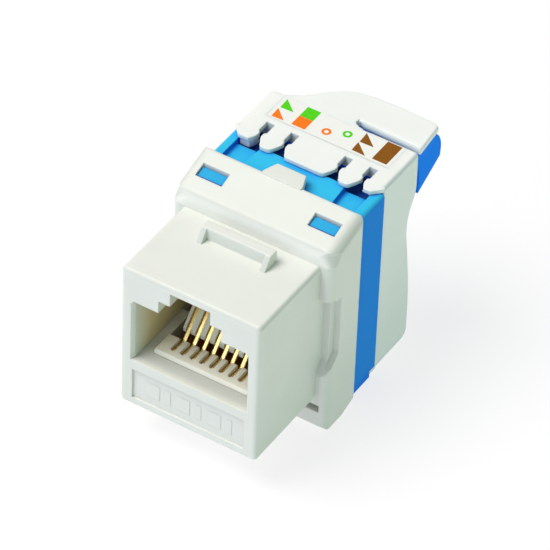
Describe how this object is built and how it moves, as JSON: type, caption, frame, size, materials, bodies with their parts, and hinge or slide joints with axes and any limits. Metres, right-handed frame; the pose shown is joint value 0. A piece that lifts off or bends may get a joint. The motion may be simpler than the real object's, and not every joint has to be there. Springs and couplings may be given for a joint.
{
  "type": "rj45 keystone jack",
  "caption": "Tool-less RJ45 keystone jack with stepped plug opening, snap-fit rear wiring cap with wire slots, hinged cable clamp and sprung panel latch.",
  "frame": {"origin": "centre of the underside of the whole jack's box, standing on the collar's underside", "axes": "+Y from the plug opening to the cable entry, +Z towards the fixed panel rib, +X across the eight contacts"},
  "size_m": [0.017, 0.03, 0.0227],
  "materials": {
    "white_plastic": "satin moulded",
    "cap_white": "satin moulded",
    "blue_plastic": "satin moulded",
    "cream_plastic": "fine matt",
    "gold_plate": "polished gold plate",
    "tin_plate": "bright tin plate",
    "board_green": "solder mask",
    "label_stock": "smooth printed"
  },
  "bodies": {
    "housing": {"front_housing": "white_plastic", "contact_carrier": "cream_plastic", "contact_guide": "cream_plastic", "circuit_board": "board_green", "terminal_housing": "blue_plastic", "terminal_row_top": "blue_plastic", "terminal_row_bottom": "blue_plastic", "terminal_1": "tin_plate", "terminal_2": "tin_plate", "terminal_3": "tin_plate", "terminal_4": "tin_plate", "terminal_5": "tin_plate", "terminal_6": "tin_plate", "terminal_7": "tin_plate", "terminal_8": "tin_plate"},
    "cap": {"wiring_cap": "cap_white", "label_top": "label_stock", "label_bottom": "label_stock"},
    "clamp": {"cable_clamp": "blue_plastic"},
    "latch": {"keystone_latch": "white_plastic"},
    "spring_contact_1": {"contact_1": "gold_plate"},
    "spring_contact_2": {"contact_2": "gold_plate"},
    "spring_contact_3": {"contact_3": "gold_plate"},
    "spring_contact_4": {"contact_4": "gold_plate"},
    "spring_contact_5": {"contact_5": "gold_plate"},
    "spring_contact_6": {"contact_6": "gold_plate"},
    "spring_contact_7": {"contact_7": "gold_plate"},
    "spring_contact_8": {"contact_8": "gold_plate"}
  },
  "joints": [
    {"name": "cap_slide", "type": "slide", "parent": "housing", "child": "cap", "axis": [0, 1, 0], "range_m": [0, 0.009]},
    {"name": "clamp_hinge", "type": "hinge", "parent": "cap", "child": "clamp", "pos_m": [0, 0.00925, 0.02002], "axis": [-1, 0, 0], "range_deg": [0, 21]},
    {"name": "latch_flex", "type": "hinge", "parent": "housing", "child": "latch", "pos_m": [0, -0.01255, 0.00298], "axis": [1, 0, 0], "range_deg": [0, 4], "stiffness_Nm_per_rad": 0.3},
    {"name": "contact_flex_1", "type": "hinge", "parent": "housing", "child": "spring_contact_1", "pos_m": [-0.00357, -0.00265, 0.0146], "axis": [1, 0, 0], "range_deg": [0, 4.5], "stiffness_Nm_per_rad": 0.1},
    {"name": "contact_flex_2", "type": "hinge", "parent": "housing", "child": "spring_contact_2", "pos_m": [-0.00255, -0.00265, 0.0146], "axis": [1, 0, 0], "range_deg": [0, 4.5], "stiffness_Nm_per_rad": 0.1},
    {"name": "contact_flex_3", "type": "hinge", "parent": "housing", "child": "spring_contact_3", "pos_m": [-0.00153, -0.00265, 0.0146], "axis": [1, 0, 0], "range_deg": [0, 4.5], "stiffness_Nm_per_rad": 0.1},
    {"name": "contact_flex_4", "type": "hinge", "parent": "housing", "child": "spring_contact_4", "pos_m": [-0.00051, -0.00265, 0.0146], "axis": [1, 0, 0], "range_deg": [0, 4.5], "stiffness_Nm_per_rad": 0.1},
    {"name": "contact_flex_5", "type": "hinge", "parent": "housing", "child": "spring_contact_5", "pos_m": [0.00051, -0.00265, 0.0146], "axis": [1, 0, 0], "range_deg": [0, 4.5], "stiffness_Nm_per_rad": 0.1},
    {"name": "contact_flex_6", "type": "hinge", "parent": "housing", "child": "spring_contact_6", "pos_m": [0.00153, -0.00265, 0.0146], "axis": [1, 0, 0], "range_deg": [0, 4.5], "stiffness_Nm_per_rad": 0.1},
    {"name": "contact_flex_7", "type": "hinge", "parent": "housing", "child": "spring_contact_7", "pos_m": [0.00255, -0.00265, 0.0146], "axis": [1, 0, 0], "range_deg": [0, 4.5], "stiffness_Nm_per_rad": 0.1},
    {"name": "contact_flex_8", "type": "hinge", "parent": "housing", "child": "spring_contact_8", "pos_m": [0.00357, -0.00265, 0.0146], "axis": [1, 0, 0], "range_deg": [0, 4.5], "stiffness_Nm_per_rad": 0.1}
  ]
}
